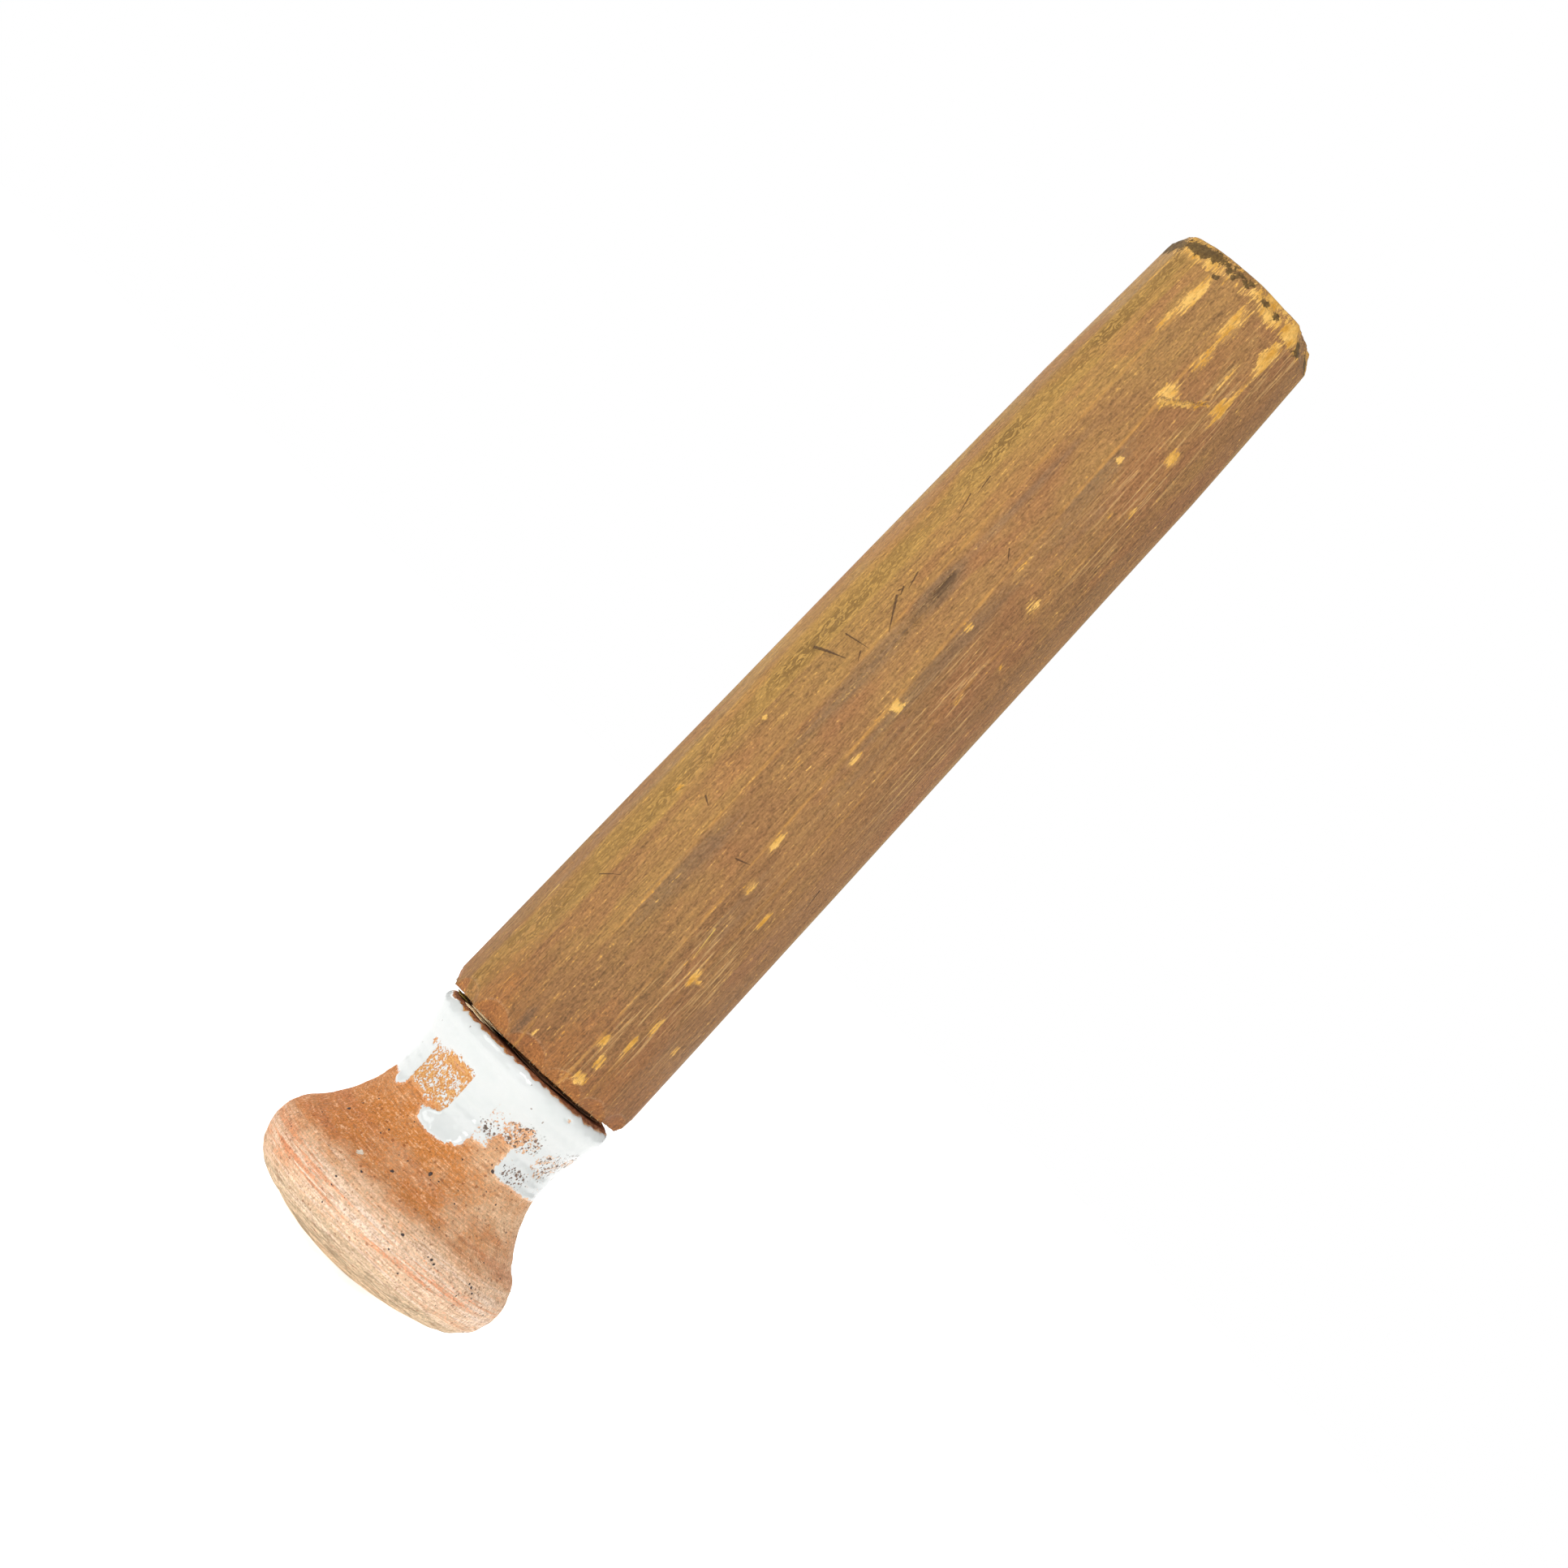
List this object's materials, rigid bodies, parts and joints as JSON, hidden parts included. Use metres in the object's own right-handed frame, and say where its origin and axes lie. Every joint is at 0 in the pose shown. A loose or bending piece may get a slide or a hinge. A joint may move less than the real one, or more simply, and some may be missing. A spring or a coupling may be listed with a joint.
{
  "type": "pestle",
  "caption": "Hand pestle with a flared, round-faced stoneware head, partly glazed, socketed on a tapered hand-planed wooden handle.",
  "frame": {"origin": "lowest point of the grinding face, on the axis", "axes": "+Z along the axis from the grinding face to the butt of the handle; -Y towards the side of the head with the longest glaze run"},
  "size_m": [0.0594, 0.0594, 0.2618],
  "materials": {
    "stoneware": "bare biscuit-fired stoneware, iron specked, worn smooth on the grinding face",
    "white_glaze": "glossy cool white glaze, pitted and specked, with runs and bare windows",
    "handle_wood": "hand-planed hardwood with a handled brown patina, ochre where worn through",
    "cement": "dull grey-brown bedding cement",
    "packing": "thin dark layers, dry and curled at the edge",
    "pale_wood": "fresh split wood, raw and fibrous",
    "green_wood": "greenish yellow splinter, raw"
  },
  "bodies": {
    "root": {"head": "stoneware", "glaze_coat": "white_glaze", "handle": "handle_wood", "socket_cement": "cement", "packing_wrap": "packing", "shim_upper": "pale_wood", "shim_lower": "pale_wood", "shim_edge": "green_wood"}
  },
  "joints": []
}
